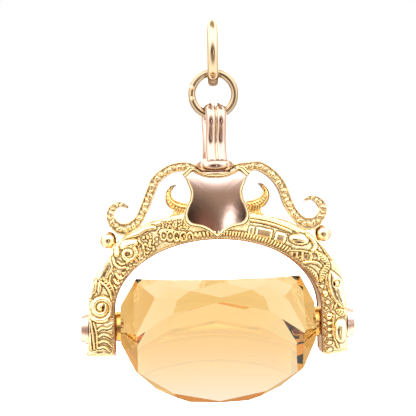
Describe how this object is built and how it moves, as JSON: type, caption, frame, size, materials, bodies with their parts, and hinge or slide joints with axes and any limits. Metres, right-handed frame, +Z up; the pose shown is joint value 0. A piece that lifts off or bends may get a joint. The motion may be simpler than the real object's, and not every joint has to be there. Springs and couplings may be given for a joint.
{
  "type": "spinner fob",
  "caption": "Gold watch fob: a chased yoke with a shield and scrolls hangs from two rings and carries a faceted barrel stone that turns between its legs.",
  "frame": {"origin": "inner top of the top ring, where a watch chain bears", "axes": "+Z up along the hanging fob, +X along the stone's pivot axis, front with the shield towards -Y"},
  "size_m": [0.0304, 0.016, 0.043],
  "materials": {
    "yellow_gold": "polished, chased",
    "rose_gold": "polished",
    "cup_gold": "polished, darkened",
    "citrine": "faceted"
  },
  "bodies": {
    "top_ring": {"top_ring": "yellow_gold"},
    "link_ring": {"link_ring": "yellow_gold"},
    "frame": {"frame": "yellow_gold", "pivot_left": "rose_gold", "pivot_right": "rose_gold"},
    "stone": {"citrine": "citrine", "cup_left": "cup_gold", "cup_right": "cup_gold"}
  },
  "joints": [
    {"name": "ring_sway", "type": "hinge", "parent": "top_ring", "child": "link_ring", "pos_m": [0, 0, -0.0065], "axis": [0.0523, 0.9986, 0], "range_deg": [-55, 55]},
    {"name": "fob_swing", "type": "hinge", "parent": "link_ring", "child": "frame", "pos_m": [0, 0, -0.01022], "axis": [0.9986, -0.0523, 0], "range_deg": [-75, 75]},
    {"name": "stone_spin", "type": "hinge", "parent": "frame", "child": "stone", "pos_m": [0, 0, -0.0334], "axis": [1, 0, 0], "continuous": true}
  ]
}
